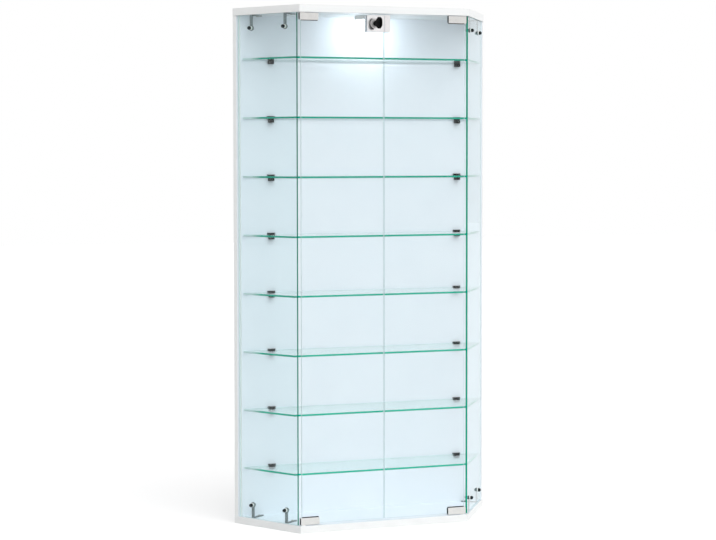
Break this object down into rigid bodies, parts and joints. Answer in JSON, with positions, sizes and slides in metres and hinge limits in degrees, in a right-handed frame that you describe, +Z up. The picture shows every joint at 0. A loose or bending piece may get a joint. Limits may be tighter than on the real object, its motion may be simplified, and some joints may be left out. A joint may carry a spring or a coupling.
{
  "type": "glass display cabinet",
  "caption": "Tall glass display cabinet with a flat white back, canted glass sides, hinged glass front doors with a key lock, and clear glass shelves held by clamps.",
  "frame": {"origin": "middle of the underside of the base board, half way between its front and rear edges", "axes": "+X to the right seen from the front, +Y to the back, +Z up"},
  "size_m": [0.5982, 0.1912, 1.14],
  "materials": {
    "white_melamine_board": "smooth white melamine faced chipboard with matching edge band",
    "beech_dowel": "plain turned beech",
    "clear_float_glass": "clear float glass with ground and polished green edges",
    "polished_chrome": "bright chrome plate",
    "nickel_steel": "nickel plated steel with a fine grain",
    "zinc_screw": "zinc plated steel",
    "dark_nickel_casting": "dark nickel plated casting",
    "black_nickel_bolt": "black nickel plated turned steel",
    "black_key_plastic": "moulded black plastic",
    "black_rubber": "thin cut rubber sheet",
    "white_nylon": "moulded white nylon",
    "white_lamp_metal": "satin white powder coat",
    "opal_lens": "frosted opal acrylic",
    "light_board": "white solder mask with light chips"
  },
  "bodies": {
    "carcase": {"back_board": "white_melamine_board", "base_board": "white_melamine_board", "bracket_screws": "nickel_steel", "carcase_dowels": "beech_dowel", "carcase_screws": "zinc_screw", "clamp_pads": "black_rubber", "clamp_set_screws": "zinc_screw", "clamp_wall_screws": "zinc_screw", "glass_shelf_1": "clear_float_glass", "glass_shelf_2": "clear_float_glass", "glass_shelf_3": "clear_float_glass", "glass_shelf_4": "clear_float_glass", "glass_shelf_5": "clear_float_glass", "glass_shelf_6": "clear_float_glass", "glass_shelf_7": "clear_float_glass", "glass_shelf_8": "clear_float_glass", "hinge_bushes": "white_nylon", "lamp_housing": "white_lamp_metal", "lamp_lens": "opal_lens", "lamp_light_board": "light_board", "lamp_screws": "zinc_screw", "left_side_pane": "clear_float_glass", "pane_bolts": "black_nickel_bolt", "pane_brackets_left": "nickel_steel", "pane_brackets_right": "nickel_steel", "pane_nuts": "polished_chrome", "pane_washers": "white_nylon", "right_side_pane": "clear_float_glass", "screw_caps": "white_nylon", "shelf_clamps_left": "dark_nickel_casting", "shelf_clamps_right": "dark_nickel_casting", "top_board": "white_melamine_board"},
    "left_door": {"left_door_glass": "clear_float_glass", "left_hinge_cap_top": "polished_chrome", "left_hinge_cap_base": "polished_chrome", "left_hinge_pins": "nickel_steel", "left_hinge_liners": "black_rubber", "left_hinge_set_screws": "zinc_screw", "lock_plate": "polished_chrome", "lock_gaskets": "black_rubber", "lock_barrel": "polished_chrome", "lock_nut": "nickel_steel", "lock_case": "nickel_steel", "lock_cover": "nickel_steel", "lock_cover_screws": "zinc_screw"},
    "right_door": {"right_door_glass": "clear_float_glass", "right_hinge_cap_top": "polished_chrome", "right_hinge_cap_base": "polished_chrome", "right_hinge_pins": "nickel_steel", "right_hinge_liners": "black_rubber", "right_hinge_set_screws": "zinc_screw", "strike_plate": "polished_chrome", "strike_box": "nickel_steel", "strike_screws": "zinc_screw"},
    "key_plug": {"lock_plug": "nickel_steel", "lock_drive": "nickel_steel"},
    "latch": {"lock_latch": "nickel_steel"},
    "key": {"key_blade": "nickel_steel", "key_bow": "black_key_plastic"}
  },
  "joints": [
    {"name": "left_door_swing", "type": "hinge", "parent": "carcase", "child": "left_door", "pos_m": [-0.1855, -0.07, 0.57], "axis": [0, 0, -1], "range_deg": [0, 110]},
    {"name": "right_door_swing", "type": "hinge", "parent": "carcase", "child": "right_door", "pos_m": [0.1855, -0.07, 0.57], "axis": [0, 0, 1], "range_deg": [0, 110]},
    {"name": "key_turn", "type": "hinge", "parent": "left_door", "child": "key_plug", "pos_m": [-0.02075, -0.07, 1.10275], "axis": [0, -1, 0], "range_deg": [0, 90]},
    {"name": "latch_slide", "type": "slide", "parent": "left_door", "child": "latch", "axis": [1, 0, 0], "range_m": [0, 0.008]},
    {"name": "key_pull", "type": "slide", "parent": "key_plug", "child": "key", "axis": [0, -1, 0], "range_m": [0, 0.03]}
  ],
  "couplings": [
    {"joint": "key_turn", "follows": "latch_slide", "rad_per_m": 196.3}
  ]
}
